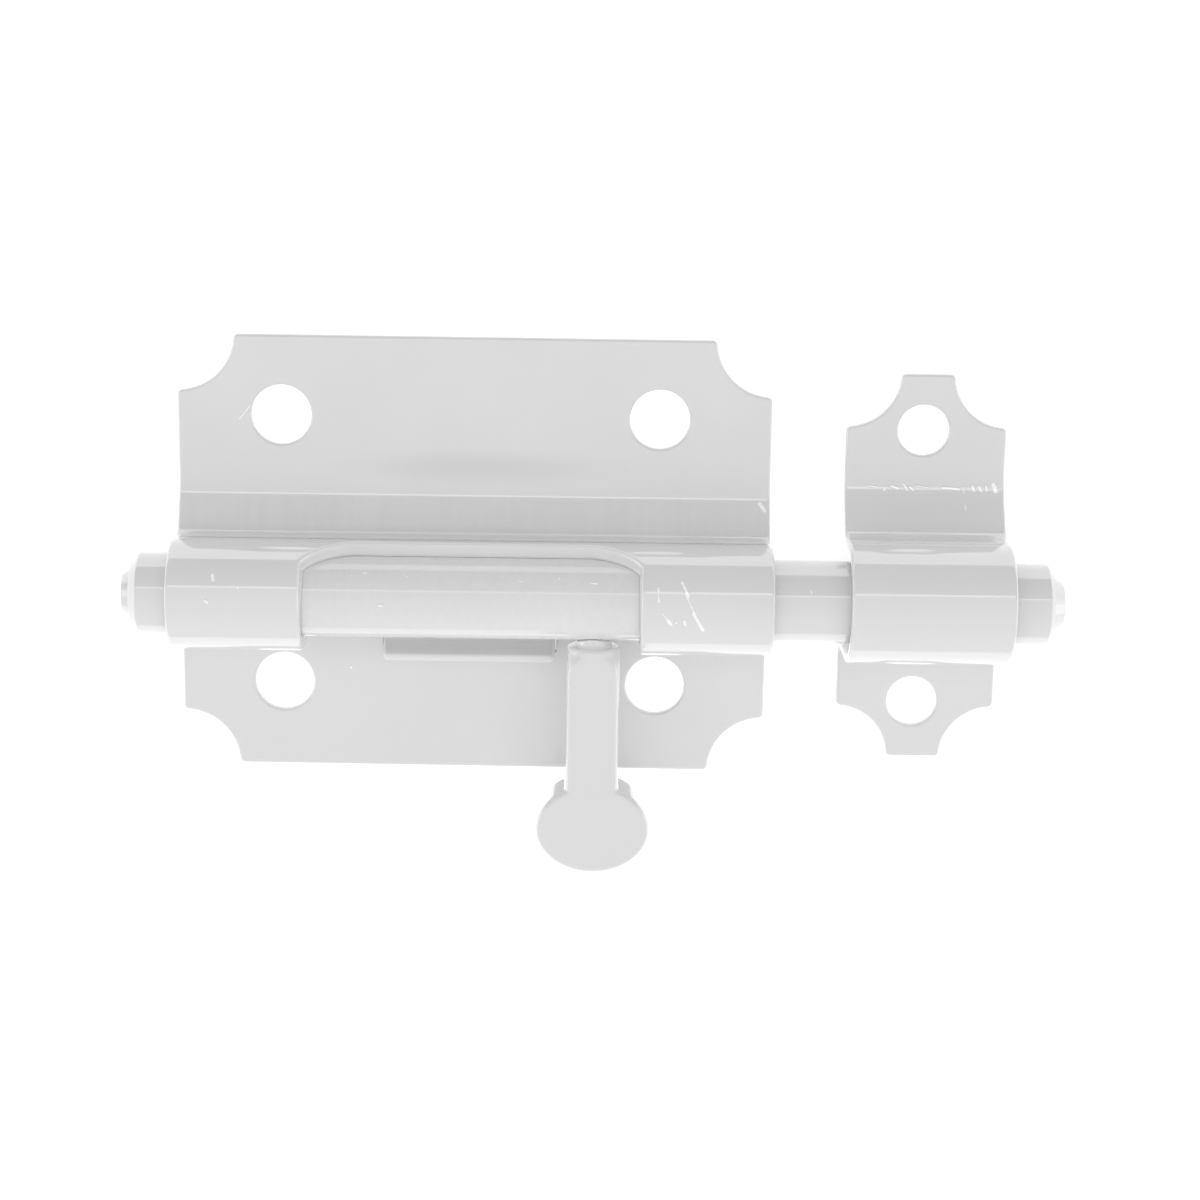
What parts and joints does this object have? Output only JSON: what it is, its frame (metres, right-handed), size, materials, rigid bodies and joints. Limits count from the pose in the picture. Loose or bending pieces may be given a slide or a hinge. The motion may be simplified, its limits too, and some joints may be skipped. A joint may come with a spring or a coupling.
{
  "type": "surface bolt",
  "caption": "Sliding surface bolt: round rod in a formed sheet plate with a bayonet window and lock tab, a lollipop knob and a separate sleeve strike, all painted white.",
  "frame": {"origin": "middle of the bolt plate's four screw holes, on the plane of the plate's back", "axes": "+X along the rod towards the strike, +Y up the door away from the knob, +Z out of the door face; the bolt lies on its back on z = 0, and the knob is drawn level"},
  "size_m": [0.0948, 0.0534, 0.0131],
  "materials": {
    "plate_paint": "gloss white paint",
    "rod_paint": "gloss white paint"
  },
  "bodies": {
    "base": {"bolt_plate": "plate_paint", "strike_plate": "plate_paint"},
    "rod": {"bolt_rod": "rod_paint"},
    "handle": {"knob": "rod_paint"}
  },
  "joints": [
    {"name": "rod_slide", "type": "slide", "parent": "base", "child": "rod", "axis": [1, 0, 0], "range_m": [-0.026, 0.0015]},
    {"name": "knob_turn", "type": "hinge", "parent": "rod", "child": "handle", "pos_m": [0, -0.0033, 0.007], "axis": [-1, 0, 0], "range_deg": [-8.5, 112]}
  ]
}
